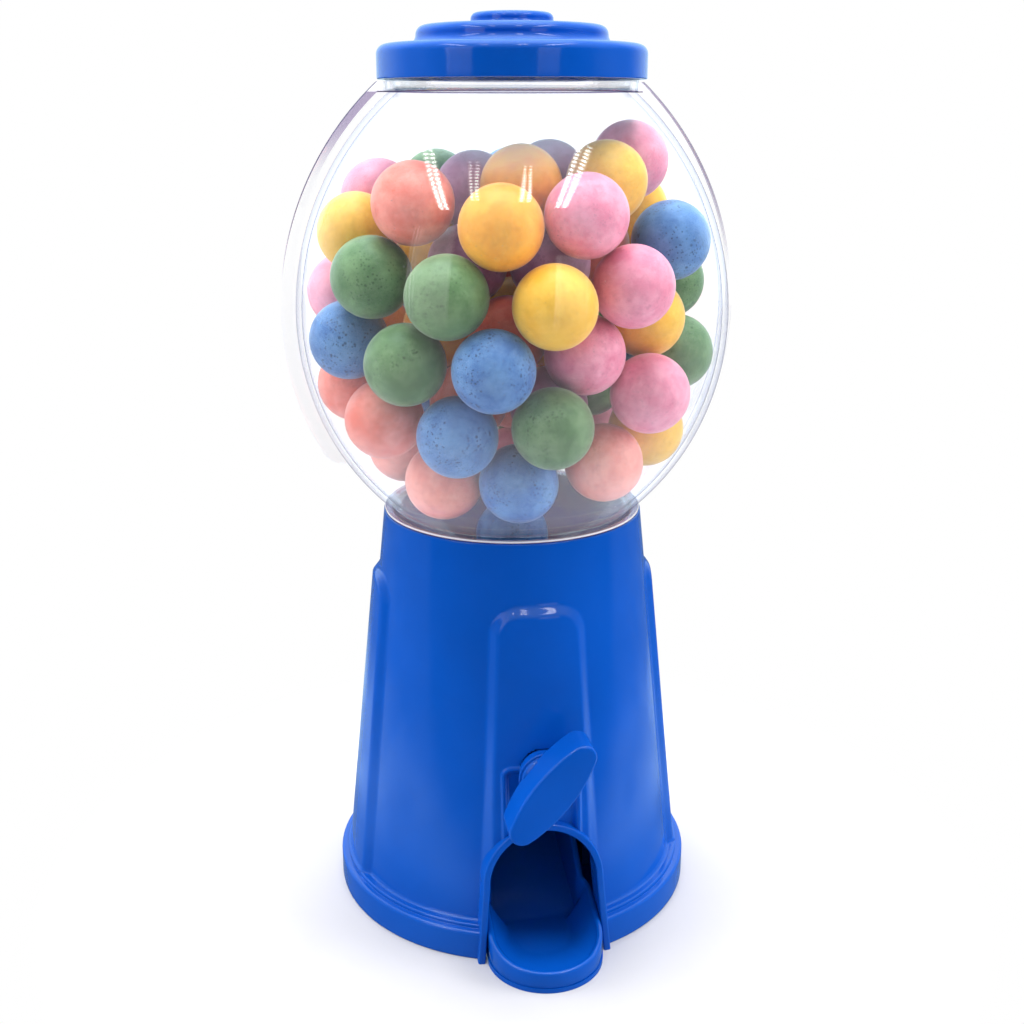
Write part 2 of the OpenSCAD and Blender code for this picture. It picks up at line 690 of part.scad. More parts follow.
lid();
globe_front_half();
globe_rear_half();
hopper();
base_housing();
knob();
dispensing_wheel();
wheel_washer();
wheel_screw();
wheel_cradle();
cradle_screws();
chute_tray();
bottom_plate();
bottom_plate_screws();
gumballs_pink();
gumballs_coral();
gumballs_salmon();
gumballs_yellow();
gumballs_orange();
gumballs_red();
gumballs_green();
gumballs_blue();
gumballs_mauve();
gumball_in_wheel();
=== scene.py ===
import math

import bmesh
import bpy
import numpy as np
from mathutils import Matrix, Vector


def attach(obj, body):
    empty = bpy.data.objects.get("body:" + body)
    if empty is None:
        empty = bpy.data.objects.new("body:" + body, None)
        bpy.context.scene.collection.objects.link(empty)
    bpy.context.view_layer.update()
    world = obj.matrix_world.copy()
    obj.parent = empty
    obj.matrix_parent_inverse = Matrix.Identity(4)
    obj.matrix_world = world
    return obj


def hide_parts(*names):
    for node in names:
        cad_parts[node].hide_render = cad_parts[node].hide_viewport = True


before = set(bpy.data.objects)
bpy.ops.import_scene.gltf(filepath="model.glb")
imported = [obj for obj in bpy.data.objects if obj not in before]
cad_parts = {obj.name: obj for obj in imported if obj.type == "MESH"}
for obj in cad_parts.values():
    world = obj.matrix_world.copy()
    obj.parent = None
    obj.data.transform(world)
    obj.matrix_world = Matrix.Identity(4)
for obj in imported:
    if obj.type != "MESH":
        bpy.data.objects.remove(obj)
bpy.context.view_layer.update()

MM = 0.001


# ------------------------------------------------------------------ meshes

def add_mesh(name, verts, faces, mat):
    """A mesh object in the scene, from metres."""
    mesh = bpy.data.meshes.new(name)
    mesh.from_pydata(verts, [], faces)
    mesh.materials.append(mat)
    obj = bpy.data.objects.new(name, mesh)
    bpy.context.scene.collection.objects.link(obj)
    return obj


def shade_smooth(mesh):
    mesh.polygons.foreach_set("use_smooth", [True] * len(mesh.polygons))


def piece(name, verts, faces, mat, body, *nodes, slot, flat_angle=None):
    """A smooth mesh from millimetres, riding on a body and standing for CAD nodes."""
    metres = [tuple(v) for v in np.asarray(verts) * MM]
    obj = add_mesh(name, metres, [tuple(map(int, f)) for f in faces], mat)
    obj.data.validate()
    shade_smooth(obj.data)
    if flat_angle:
        keep_corners(obj, flat_angle)
    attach(obj, body)
    if nodes:
        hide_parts(*nodes)
    return obj


def keep_corners(obj, angle):
    """Splits smooth shading where two faces meet at more than the angle."""
    mesh = obj.data
    limit = math.cos(math.radians(angle))
    normals = {}
    for poly in mesh.polygons:
        for key in poly.edge_keys:
            normals.setdefault(key, []).append(poly.normal.copy())
    sharp = {key for key, pair in normals.items()
             if len(pair) == 2 and pair[0].dot(pair[1]) < limit}
    for edge in mesh.edges:
        if edge.key in sharp:
            edge.use_edge_sharp = True


def grid_faces(rows, cols, wrap_rows=False, wrap_cols=False):
    """Quads between neighbouring points of a grid, numbered row by row."""
    faces = []
    for i in range(rows if wrap_rows else rows - 1):
        k = (i + 1) % rows
        for j in range(cols if wrap_cols else cols - 1):
            n = (j + 1) % cols
            faces.append((i * cols + j, i * cols + n, k * cols + n, k * cols + j))
    return faces


def capped_faces(rows, cols):
    """Faces of a stack of closed loops, with the first and the last loop filled."""
    ends = [tuple(reversed(range(cols))), tuple((rows - 1) * cols + k for k in range(cols))]
    return grid_faces(rows, cols, wrap_cols=True) + ends


def rounded(corners, steps):
    """Points of a polyline of (x, z, radius) corners, with an arc at each that has a radius."""
    out = []
    for i, (x, z, r) in enumerate(corners):
        if r <= 0 or i in (0, len(corners) - 1):
            out.append((x, z))
            continue
        p = np.array([x, z], float)
        a = np.array(corners[i - 1][:2], float) - p
        b = np.array(corners[i + 1][:2], float) - p
        la, lb = np.linalg.norm(a), np.linalg.norm(b)
        a, b = a / la, b / lb
        half = math.acos(max(-1, min(1, float(a @ b)))) / 2
        cut = min(r / math.tan(half), la * 0.499, lb * 0.499)
        r = cut * math.tan(half)
        mid = (a + b) / np.linalg.norm(a + b)
        centre = p + mid * (r / math.sin(half))
        start, end = p + a * cut - centre, p + b * cut - centre
        angle0 = math.atan2(start[1], start[0])
        turn = (math.atan2(end[1], end[0]) - angle0 + math.pi) % (2 * math.pi) - math.pi
        for k in range(steps + 1):
            t = angle0 + turn * k / steps
            out.append((centre[0] + r * math.cos(t), centre[1] + r * math.sin(t)))
    return out


def refine(points, step):
    """Adds points so that no stretch is longer than step."""
    out = [points[0]]
    for a, b in zip(points, points[1:]):
        n = max(1, math.ceil(math.dist(a, b) / step))
        out += [tuple(np.array(a) + (np.array(b) - np.array(a)) * k / n) for k in range(1, n + 1)]
    return out


def lathe(profile, segments):
    """Vertices and faces of a closed (r, z) profile turned round Z."""
    pts = np.array(profile, float)
    turn = np.linspace(0, 2 * math.pi, segments, endpoint=False)
    verts = np.empty((len(pts), segments, 3))
    verts[:, :, 0] = pts[:, :1] * np.cos(turn)
    verts[:, :, 1] = pts[:, :1] * np.sin(turn)
    verts[:, :, 2] = pts[:, 1:]
    return verts.reshape(-1, 3), grid_faces(len(pts), segments, wrap_rows=True, wrap_cols=True)


def weld(obj, dist=0.002):
    """Merges the points that lie within dist millimetres and drops faces without area."""
    bm = bmesh.new()
    bm.from_mesh(obj.data)
    bmesh.ops.remove_doubles(bm, verts=bm.verts, dist=dist * MM)
    bmesh.ops.dissolve_degenerate(bm, edges=bm.edges, dist=dist * MM / 4)
    bmesh.ops.recalc_face_normals(bm, faces=bm.faces)
    bm.to_mesh(obj.data)
    bm.free()
    shade_smooth(obj.data)


def even_normals(obj):
    """Weights the shading by face area, so that large flat faces look flat."""
    mod = obj.modifiers.new("normals", "WEIGHTED_NORMAL")
    mod.keep_sharp = True
    mod.weight = 60


def ease(t):
    """A smooth step from 0 to 1."""
    t = np.clip(t, 0.0, 1.0)
    return t * t * (3 - 2 * t)


# ------------------------------------------------------------------ materials

class Nodes:
    """Short names for building the node tree of a new material or of the world."""

    def __init__(self, owner, output="ShaderNodeOutputMaterial"):
        owner.use_nodes = True
        self.owner = owner
        self.tree = owner.node_tree
        self.tree.nodes.clear()
        self.out = self.add(output)

    def add(self, kind, inputs=(), **settings):
        """A node with its settings, and with its inputs given by name or number."""
        node = self.tree.nodes.new(kind)
        for key, value in settings.items():
            setattr(node, key, value)
        for key, value in dict(inputs).items():
            if value is not None:
                self.feed(node.inputs[key], value)
        return node

    def feed(self, socket, value):
        """Links a node's output to the socket, or sets its value; three numbers are a colour."""
        if hasattr(value, "links"):
            self.tree.links.new(value, socket)
        elif isinstance(value, tuple) and len(value) == 3:
            socket.default_value = (*value, 1)
        else:
            socket.default_value = value

    def surface(self, shader):
        """Ends the tree with the shader and returns the material."""
        self.feed(self.out.inputs["Surface"], shader)
        return self.owner

    def point(self):
        return self.add("ShaderNodeTexCoord").outputs["Object"]

    def xyz(self, vector):
        return self.add("ShaderNodeSeparateXYZ", {0: vector}).outputs

    def path(self):
        return self.add("ShaderNodeLightPath").outputs

    def noise(self, scale, detail=3.0, rough=0.5):
        inputs = {"Vector": self.point(), "Scale": scale, "Detail": detail, "Roughness": rough}
        return self.add("ShaderNodeTexNoise", inputs).outputs["Fac"]

    def ramp(self, fac, *stops, smooth=False):
        """A colour ramp of (place, colour or grey level) stops."""
        node = self.add("ShaderNodeValToRGB", {"Fac": fac})
        if smooth:
            node.color_ramp.interpolation = "EASE"
        elements = node.color_ramp.elements
        while len(elements) < len(stops):
            elements.new(0.5)
        for element, (place, colour) in zip(elements, stops):
            element.position = place
            element.color = (*(colour if isinstance(colour, tuple) else [colour] * 3), 1)
        return node.outputs["Color"]

    def span(self, value, start, end, first, last):
        """A smooth step from first to last while value goes from start to end."""
        inputs = {0: value, 1: start, 2: end, 3: first, 4: last}
        return self.add("ShaderNodeMapRange", inputs, interpolation_type="SMOOTHSTEP").outputs[0]

    def mix(self, fac, a, b):
        """Mixes two colours."""
        return self.add("ShaderNodeMix", {0: fac, 6: a, 7: b}, data_type="RGBA").outputs[2]

    def mix_value(self, fac, a, b):
        """Mixes two numbers."""
        return self.add("ShaderNodeMix", {0: fac, 2: a, 3: b}, data_type="FLOAT").outputs[0]

    def blend(self, fac, a, b):
        """Mixes two shaders."""
        return self.add("ShaderNodeMixShader", {0: fac, 1: a, 2: b}).outputs[0]

    def math(self, op, a, b=0.0, clamp=False):
        return self.add("ShaderNodeMath", {0: a, 1: b}, operation=op, use_clamp=clamp).outputs[0]

    def times(self, a, b):
        return self.math("MULTIPLY", a, b)

    def plus(self, a, b, clamp=False):
        return self.math("ADD", a, b, clamp)

    def bump(self, height, strength, distance):
        inputs = {"Strength": strength, "Distance": distance, "Height": height}
        return self.add("ShaderNodeBump", inputs).outputs["Normal"]

    def emission(self, colour, strength):
        return self.add("ShaderNodeEmission", {"Color": colour, "Strength": strength}).outputs[0]

    def principled(self, colour, rough, normal=None, **more):
        inputs = {"Base Color": colour, "Roughness": rough, "Normal": normal}
        inputs.update((key.replace("_", " "), value) for key, value in more.items())
        return self.add("ShaderNodeBsdfPrincipled", inputs).outputs["BSDF"]


def material(name):
    return Nodes(bpy.data.materials.new(name))


def blue_plastic():
    """Royal blue moulded plastic: a faint flow pattern, uneven gloss and fine orange peel."""
    n = material("blue_plastic")
    flow = n.ramp(n.noise(45, 4, 0.55), (0.3, (0.0010, 0.073, 0.43)), (0.7, (0.0016, 0.084, 0.49)))
    # pale dust specks
    pale_share = n.ramp(n.noise(2600, 2, 0.6), (0.70, 0.0), (0.80, 0.5))
    colour = n.mix(n.times(pale_share, 0.05), flow, (0.25, 0.4, 0.7))
    rough = n.ramp(n.noise(160, 5, 0.6), (0.25, 0.07), (0.8, 0.13))
    peel = n.bump(n.noise(420, 3, 0.5), 0.04, 0.0003)
    return n.surface(n.principled(colour, rough, peel, IOR=1.5))


def clear_plastic(name, tint_and_shade, haze_and_glow=0.0, bend=0.0, low_veil=0.0, fade=None):
    """Thin clear moulding with hairline scuffs and dust, which lets the lamps' light through.

    It mirrors more at a slant, and what shows through it darkens at a slant with painted shade.
    tint_and_shade is the colour seen through it: the plastic's own colour, and painted shade on
    the globe's edges. haze_and_glow is the share of it that is milky: real haze, and a painted
    highlight on the hopper's rim. bend is the share that refracts what is behind it, low_veil
    the share of a pale veil that comes in low in the globe, and fade the heights between which
    that colour comes in.
    """
    n = material(name)
    waves = n.bump(n.noise(26, 2, 0.4), 0.06, 0.0006)
    scuffs = n.ramp(n.noise(900, 6, 0.7), (0.62, 0.012), (0.80, 0.10))
    steep = n.add("ShaderNodeLayerWeight", {"Blend": 0.5}).outputs["Facing"]
    mirror = n.ramp(steep, (0.0, 0.045), (0.45, 0.05), (0.70, 0.10), (0.88, 0.20), (1.0, 0.10))
    gloss = n.add("ShaderNodeBsdfGlossy", {"Color": mirror, "Roughness": scuffs, "Normal": waves})
    # painted shade: the colour seen through darkens towards edge-on, for the dark lines a clear
    # wall shows at a slant
    slanted, edge_on = (tuple(c * shade for c, shade in zip(tint_and_shade, shades))
                        for shades in ((0.80, 0.80, 0.84), (0.48, 0.48, 0.56)))
    darkening = n.ramp(steep, (0.76, tint_and_shade), (0.90, slanted), (1.0, edge_on))
    if fade:
        untinted = (0.985, 0.985, 0.99)
        darkening = n.mix(n.span(n.xyz(n.point())[2], *fade, 0.0, 1.0), untinted, darkening)
    sight = n.add("ShaderNodeBsdfTransparent", {"Color": darkening})
    look = n.add("ShaderNodeAddShader", {0: sight.outputs[0], 1: gloss.outputs[0]}).outputs[0]
    pale_share = n.ramp(n.noise(2300, 2, 0.6), (0.70, 0.0), (0.78, 0.3))
    # the milky share joins here: real haze, and on the hopper's rim a painted highlight
    if haze_and_glow:
        pale_share = n.plus(pale_share, haze_and_glow, clamp=True)
    # a pale veil that comes in low in the globe
    if low_veil:
        low = n.span(n.xyz(n.point())[2], 0.150, 0.100, 0.0, low_veil)
        film = n.times(low, n.ramp(n.noise(55, 5, 0.6), (0.3, 0.6), (0.7, 1.0)))
        pale_share = n.plus(pale_share, film, clamp=True)
    look = n.blend(pale_share, look, n.principled((0.80, 0.79, 0.85), 0.3))
    if bend:
        lens = n.principled((1.0, 1.0, 1.0), 0.015, waves, IOR=1.46, Transmission_Weight=1.0)
        look = n.blend(bend, look, lens)
    clear = n.add("ShaderNodeBsdfTransparent", {"Color": (0.97, 0.97, 0.975)})
    path = n.path()
    lamps = n.math("MAXIMUM", path["Is Shadow Ray"], path["Is Diffuse Ray"])
    return n.surface(n.blend(lamps, look, clear.outputs[0]))


def sugar_shell(name, colour, pale, specks=0.0):
    """A gumball's sugar shell: mottled, with clusters of fine dark specks where specks is set."""
    n = material(name)
    deep = tuple(c * 0.62 for c in colour)
    chalk = tuple(min(1.0, c * 1.3 + 0.05) for c in pale)
    per_ball = n.add("ShaderNodeNewGeometry").outputs["Random Per Island"]
    blotch = n.noise(210, 5, 0.62)
    base = n.ramp(blotch, (0.36, colour), (0.64, pale))
    base = n.mix(n.times(per_ball, 0.25), base, pale)
    darkening = n.ramp(n.noise(620, 4, 0.6), (0.46, 0.0), (0.66, 1.0))
    base = n.mix(n.times(darkening, 0.20), base, deep)
    bloom = n.ramp(n.noise(430, 4, 0.62), (0.56, 0.0), (0.72, 1.0))
    base = n.mix(n.times(bloom, 0.22), base, chalk)
    if specks:
        where = n.ramp(n.noise(150, 3, 0.6), (0.44, 0.0), (0.56, 1.0))
        for scale, size in ((900, 0.43), (1500, 0.46)):
            cells = n.add("ShaderNodeTexVoronoi", {"Vector": n.point(), "Scale": scale})
            ragged = n.times(n.noise(scale / 2, 2, 0.5), 0.6)
            near = n.plus(cells.outputs["Distance"], ragged)
            dots = n.ramp(near, (size + 0.02, 1.0), (size + 0.12, 0.0))
            share = n.times(n.times(dots, where), specks)
            base = n.mix(share, base, tuple(c * 0.3 for c in deep))
    rough = n.ramp(n.noise(320, 3, 0.5), (0.3, 0.34), (0.75, 0.50))
    skin = n.bump(n.plus(n.noise(640, 2, 0.5), n.times(blotch, 1.5)), 0.10, 0.0004)
    return n.surface(n.principled(base, rough, skin, IOR=1.45, Specular_IOR_Level=0.42,
                                  Sheen_Weight=0.3, Sheen_Roughness=0.35))


def white_plastic():
    n = material("white_plastic")
    colour = n.ramp(n.noise(60, 4), (0.3, (0.72, 0.71, 0.68)), (0.7, (0.80, 0.79, 0.77)))
    rough = n.ramp(n.noise(300, 3), (0.3, 0.3), (0.7, 0.42))
    return n.surface(n.principled(colour, rough, n.bump(n.noise(800, 2), 0.05, 0.0003)))


def plated_steel():
    n = material("plated_steel")
    colour = n.ramp(n.noise(500, 4), (0.3, (0.50, 0.50, 0.52)), (0.7, (0.64, 0.64, 0.65)))
    rough = n.ramp(n.noise(1200, 4), (0.3, 0.22), (0.7, 0.38))
    grain = n.bump(n.noise(2500, 3), 0.1, 0.0002)
    return n.surface(n.principled(colour, rough, grain, Metallic=1.0))


BLUE = blue_plastic()
CLEAR = clear_plastic("clear_globe", (0.996, 0.996, 0.998), low_veil=0.075)
CLEAR_EDGE = clear_plastic("clear_edges", (0.97, 0.97, 0.985), bend=0.4)
# painted shade: dark outer edges of the flanges and a dark ring at the neck, coming in higher up
CLEAR_RIM_SHADE = clear_plastic("clear_rims_painted_shade", (0.50, 0.46, 0.58), fade=(0.135, 0.160))
# painted shade: the outer part of the left flange, high up, is a little darker
CLEAR_BEAD_SHADE = clear_plastic("clear_bead_painted_shade", (0.83, 0.80, 0.87), fade=(0.156, 0.170))
CLEAR_SEAM = clear_plastic("clear_seam", (0.45, 0.40, 0.52))
# painted highlight: the hopper rim's top is milky white, for light caught in its thick clear edge
CLEAR_LIP_GLOW = clear_plastic("clear_lip_painted_highlight", (0.97, 0.96, 0.98), haze_and_glow=0.92)
CLEAR_HOPPER = clear_plastic("clear_hopper", (0.97, 0.95, 0.98), haze_and_glow=0.26)
WHITE = white_plastic()
STEEL = plated_steel()
SHELLS = {
    "pink": sugar_shell("shell_pink", (0.76, 0.21, 0.33), (0.88, 0.37, 0.50), 0.12),
    "coral": sugar_shell("shell_coral", (0.76, 0.14, 0.09), (0.88, 0.30, 0.24), 0.1),
    "salmon": sugar_shell("shell_salmon", (0.86, 0.26, 0.20), (0.94, 0.40, 0.33), 0.1),
    "yellow": sugar_shell("shell_yellow", (0.80, 0.43, 0.03), (0.90, 0.56, 0.08)),
    "orange": sugar_shell("shell_orange", (0.84, 0.30, 0.015), (0.92, 0.44, 0.045)),
    "red": sugar_shell("shell_red", (0.62, 0.08, 0.04), (0.74, 0.16, 0.09)),
    "green": sugar_shell("shell_green", (0.072, 0.17, 0.060), (0.16, 0.29, 0.13), 0.45),
    "blue": sugar_shell("shell_blue", (0.040, 0.14, 0.40), (0.12, 0.28, 0.56), 0.65),
    "mauve": sugar_shell("shell_mauve", (0.36, 0.12, 0.25), (0.50, 0.24, 0.40), 0.2),
}

# ------------------------------------------------------------------ base housing

BASE_H, TOP_R, FOOT_R, WALL = 88.0, 27.8, 37.3, 1.8
RIM_R, RIM_H, FOLD_H, CONE_FROM = 40.0, 6.45, 7.2, 9.2      # the rim round the foot
PANEL_LOW, PANEL_HIGH, PANEL_SLANT, PANEL_TOP = 12.8, 9.4, 69, 75
PANEL_CORNER, PROUD = 6.0, 1.4
RECESS_HALF, RECESS_TOP, RECESS_CORNER, SUNK, RIDGE = 7.0, 41.3, 1.2, 1.0, 0.4
ARCH_R, ARCH_Z, ARCH_FOOT = 11.3, 16.9, 12.8
LEG_H = ARCH_Z + 1
LIP_W, LIP_Y = 1.5, -39.3
LEAN = math.atan((FOOT_R - TOP_R) / BASE_H)
KNOB_Z, KNOB_HOLE = 41.5, 4.5
SLEEVE_R, SHAFT_BORE = 6.4, 4.06
BOSS_AT, BOSS_R = 30.2, 3.2


def cone_r(z):
    """The housing's outer radius at a height."""
    return FOOT_R + (TOP_R - FOOT_R) * z / BASE_H


def box_depth(side, top, corner):
    """Distance inside two edges that meet in a round corner."""
    arc = corner - np.hypot(np.maximum(corner - side, 0), np.maximum(corner - top, 0))
    return np.where((side < corner) & (top < corner), arc, np.minimum(side, top))


def panel_relief(x, z):
    """How far a raised panel stands out of the cone, with soft edges."""
    half = PANEL_LOW + (PANEL_HIGH - PANEL_LOW) * np.clip(z / PANEL_SLANT, 0, 1)
    d = box_depth(half - np.abs(x), PANEL_TOP - z, PANEL_CORNER)
    return PROUD * ease((d + 0.9) / 2.9)


def recess_relief(x, z):
    """The sunk field behind the knob and the thin raised frame round it."""
    d = box_depth(RECESS_HALF - np.abs(x), RECESS_TOP - z, RECESS_CORNER)
    ridge = RIDGE * ease((d + 1.2) / 0.5) * ease((0.15 - d) / 0.5)
    return -SUNK * ease((d - 0.02) / 0.45) + ridge


def outlet_depth(x, z):
    """Distance inside the outlet's outline, negative outside."""
    arch = ARCH_R - np.hypot(x, z - ARCH_Z)
    half = ARCH_R + (ARCH_FOOT - ARCH_R) * np.clip((ARCH_Z - z) / LEG_H, 0, 1)
    return np.where(z > ARCH_Z, arch, half - np.abs(x))


def base_shell():
    """The tapered shell with its four raised panels, the outlet and the knob's hole cut out."""
    arc = 8
    rim = rounded([(37.9, 0.0, 0), (39.9, 0.0, 0.3), (RIM_R, 0.3, 0.2), (RIM_R, RIM_H, 2.2),
                   (38.5, RIM_H, 0.12), (38.44, FOLD_H, 0.6), (cone_r(FOLD_H), FOLD_H, 0.9),
                   (cone_r(CONE_FROM), CONE_FROM, 0)], arc)
    cone_top, bore = BASE_H - 0.5, TOP_R - WALL
    outer = rim[:-1] + refine([(cone_r(CONE_FROM), CONE_FROM), (cone_r(cone_top), cone_top)], 0.33)
    edge = rounded([(cone_r(cone_top), cone_top, 0), (TOP_R, BASE_H, 0.35),
                    (bore, BASE_H, 0.2), (bore + 0.1, BASE_H - 1, 0)], 4)
    inner = refine([(bore + 0.1, BASE_H - 1), (cone_r(8) - WALL, 8.0)], 1.2)
    foot = [(36.3, 4.4), (38.1, 4.4), (38.2, 2.2), (37.9, 1.9)]
    profile = np.array(outer + edge[1:] + inner[1:] + foot)
    segments = 820
    turn = np.linspace(0, 2 * math.pi, segments, endpoint=False)
    r = np.repeat(profile[:, :1], segments, 1)
    z = np.repeat(profile[:, 1:], segments, 1)
    quarter = (turn + math.pi / 4) % (math.pi / 2) - math.pi / 4
    front = np.abs((turn + math.pi / 2 + math.pi) % (2 * math.pi) - math.pi) < 0.6
    relief = panel_relief(r * np.sin(quarter), z)
    relief = relief + np.where(front, recess_relief(r * np.cos(turn), z), 0)
    weight = np.zeros(len(profile))      # only the cone's outer face is in relief
    first = len(rim) - arc - 1
    weight[first:len(outer)] = 1
    weight[first - 1] = 0.8
    r = r + relief * weight[:, None]
    verts = np.stack([r * np.cos(turn), r * np.sin(turn), z], -1).reshape(-1, 3)
    faces = np.array(grid_faces(len(profile), segments, wrap_rows=True, wrap_cols=True))
    x, y, z = verts[faces].mean(1).T
    outlet = outlet_depth(x, z) > -LIP_W / 2
    knob_hole = np.hypot(x, z - KNOB_Z) < KNOB_HOLE
    return used_only(verts, faces[~((y < 0) & (outlet | knob_hole))])


def used_only(verts, faces):
    """Drops the points that no face uses."""
    keep = np.unique(faces)
    place = np.zeros(len(verts), int)
    place[keep] = np.arange(len(keep))
    return verts[keep], place[faces]


piece("base_shell", *base_shell(), BLUE, "machine", "base_housing", slot="blue_plastic")


def outlet_path():
    """Points round the outlet at the middle of the lip, with outward normals, from foot to foot."""
    steps = 40
    mid = LIP_W / 2
    arch_r = ARCH_R + mid
    slope = math.atan((ARCH_FOOT - ARCH_R) / LEG_H)
    leg = []
    for z in np.linspace(0.02, ARCH_Z, steps)[:-1]:
        x = ARCH_R + (ARCH_FOOT - ARCH_R) * (ARCH_Z - z) / LEG_H + mid
        leg.append((-x, z, -math.cos(slope), math.sin(slope)))
    arch = [(arch_r * math.cos(t), ARCH_Z + arch_r * math.sin(t), math.cos(t), math.sin(t))
            for t in np.linspace(math.pi, 0, 72)]
    return leg + arch + [(-x, z, -nx, nz) for x, z, nx, nz in reversed(leg)]


def outlet_lip():
    """The raised lip round the outlet, which runs back into the wall and never below the floor."""
    rows = []
    mid = LIP_W / 2
    for x, z, nx, nz in outlet_path():
        front = LIP_Y + z * math.tan(LEAN)
        wall = max(cone_r(z) - WALL, abs(x) + 1)
        back = -math.sqrt(wall * wall - x * x) + 0.02
        section = rounded([(-mid, back, 0), (-mid, front, 0.35), (mid, front, 0.45),
                           (mid, back, 0), (0, back, 0)], 6)
        rows.append([(x + nx * q, y, max(0.0, z + nz * q)) for q, y in section])
    verts = np.array(rows)
    count, width = verts.shape[:2]
    faces = grid_faces(count, width, wrap_cols=True)
    faces += [tuple(range(width)), tuple((count - 1) * width + k for k in reversed(range(width)))]
    return verts.reshape(-1, 3), faces


lip = piece("outlet_lip", *outlet_lip(), BLUE, "machine", slot="blue_plastic", flat_angle=50)
weld(lip)
keep_corners(lip, 50)


def rod(radius, start, end, hole=0.0, segments=64):
    """A round bar or tube from start to end with eased edges."""
    a, b = np.array(start, float), np.array(end, float)
    length = np.linalg.norm(b - a)
    edge, centre = 0.3, 0.01
    if hole:
        profile = rounded([(hole, edge, 0), (hole, 0, edge / 2), (radius, 0, edge),
                           (radius, length, edge), (hole, length, edge / 2),
                           (hole, length - edge, 0)], 4)
    else:
        bar = rounded([(centre, 0, 0), (radius, 0, edge), (radius, length, edge),
                       (centre, length, 0)], 5)
        profile = [(centre / 10, 0)] + bar + [(centre / 10, length)]
    verts, faces = lathe(profile, segments)
    if not hole:
        faces = capped_faces(len(profile), segments)
    turn = np.array(Vector((b - a) / length).to_track_quat("Z", "Y").to_matrix())
    return verts @ turn.T + a, faces


piece("shaft_sleeve", *rod(SLEEVE_R, (0, -25.9, KNOB_Z), (0, -31.4, KNOB_Z), SHAFT_BORE), BLUE,
      "machine", slot="blue_plastic", flat_angle=40)
for i, angle in enumerate((45, 135, 225, 315)):
    x, y = BOSS_AT * math.cos(math.radians(angle)), BOSS_AT * math.sin(math.radians(angle))
    piece(f"screw_boss_{i}", *rod(BOSS_R, (x, y, 3.4), (x, y, 15.4), 1.0), BLUE, "machine",
          slot="blue_plastic", flat_angle=40)

# ------------------------------------------------------------------ knob

FACE_Y, LEVER_T, HUB_BACK = -45.6, 7.3, -34.9
LEVER_HALF, LEVER_MID, LEVER_END, LEVER_LEAN = 12.5, 4.4, 2.8, 38
SHAFT_R, SHAFT_END, HUB_R, COLLAR_R = 4.0, 19.1, 4.9, 5.56


def lever_loop(inset):
    """The lever's outline, drawn in by inset, in its own upright frame."""
    end_at, rise = LEVER_HALF - LEVER_END, LEVER_MID - LEVER_END
    side = (end_at ** 2 + rise ** 2) / (2 * rise)
    swing = math.asin(end_at / side)
    big, small = side + LEVER_END - inset, LEVER_END - inset
    loop = []
    for s in (1, -1):
        for t in np.linspace(-swing, swing, 30):
            loop.append((s * (LEVER_MID - side - LEVER_END + big * math.cos(t)),
                         s * big * math.sin(t)))
        for t in np.linspace(swing, math.pi - swing, 18)[1:-1]:
            loop.append((s * small * math.cos(t), s * (end_at + small * math.sin(t))))
    return loop


def lever():
    """The knob's lever, with rounded front and back edges."""
    edge = 0.55
    back = edge * 0.8
    rows = [(2.2, FACE_Y), (1.2, FACE_Y)]
    rows += [(edge - edge * math.sin(t), FACE_Y + (edge - edge * math.cos(t)))
             for t in np.linspace(0, math.pi / 2, 7)]
    rows += [(back - back * math.cos(t), FACE_Y + LEVER_T + (-back + back * math.sin(t)))
             for t in np.linspace(0, math.pi / 2, 6)]
    rows.append((1.6, FACE_Y + LEVER_T))
    c, s = math.cos(math.radians(LEVER_LEAN)), math.sin(math.radians(LEVER_LEAN))
    verts = [(u * c + v * s, y, KNOB_Z - u * s + v * c)
             for inset, y in rows for u, v in lever_loop(inset)]
    return np.array(verts), capped_faces(len(rows), len(verts) // len(rows))


def hub():
    """The round hub behind the lever, its collar and the shaft, turned round the knob's axis."""
    back = HUB_BACK - (FACE_Y + LEVER_T)
    profile = rounded([(0.01, -1, 0), (HUB_R, -1, 0), (HUB_R, 0.2, 0.15), (COLLAR_R, 0.2, 0.25),
                       (HUB_R, back, 0.4), (SHAFT_R, back, 0.15), (SHAFT_R, SHAFT_END, 0.2),
                       (0.01, SHAFT_END, 0)], 6)
    segments = 96
    verts, _ = lathe(profile, segments)
    out = np.stack([verts[:, 0], verts[:, 2] + FACE_Y + LEVER_T, verts[:, 1] + KNOB_Z], -1)
    return out, [tuple(reversed(f)) for f in capped_faces(len(profile), segments)]


even_normals(piece("knob_lever", *lever(), BLUE, "knob_wheel", "knob", slot="blue_plastic",
                   flat_angle=60))
weld(piece("knob_hub", *hub(), BLUE, "knob_wheel", slot="blue_plastic"))
piece("knob_tenon", *rod(3.0, (0, -19.6, KNOB_Z), (0, -11.6, KNOB_Z), segments=4), BLUE,
      "knob_wheel", slot="blue_plastic", flat_angle=30)

# ------------------------------------------------------------------ tray

TRAY_HALF, NOSE_Y, BACK_Y, FOLD_Y = 12, -38.8, 11, -28      # the ramp folds into the flat floor
FLOOR_HALF, FLOOR_NOSE_Y, FLOOR_Z = 6, -33.8, 2.0
TRAY_WALL, TRAY_EDGE = 1.3, 0.6
TRAY_TOP = [-50.8, -47, -41, -34, -28, -10, 11], [4.6, 4.9, 6.3, 8.4, 10.4, 24, 24]


def tray_floor(y):
    return FLOOR_Z + max(0.0, y - FOLD_Y) * 10.4 / 37.5


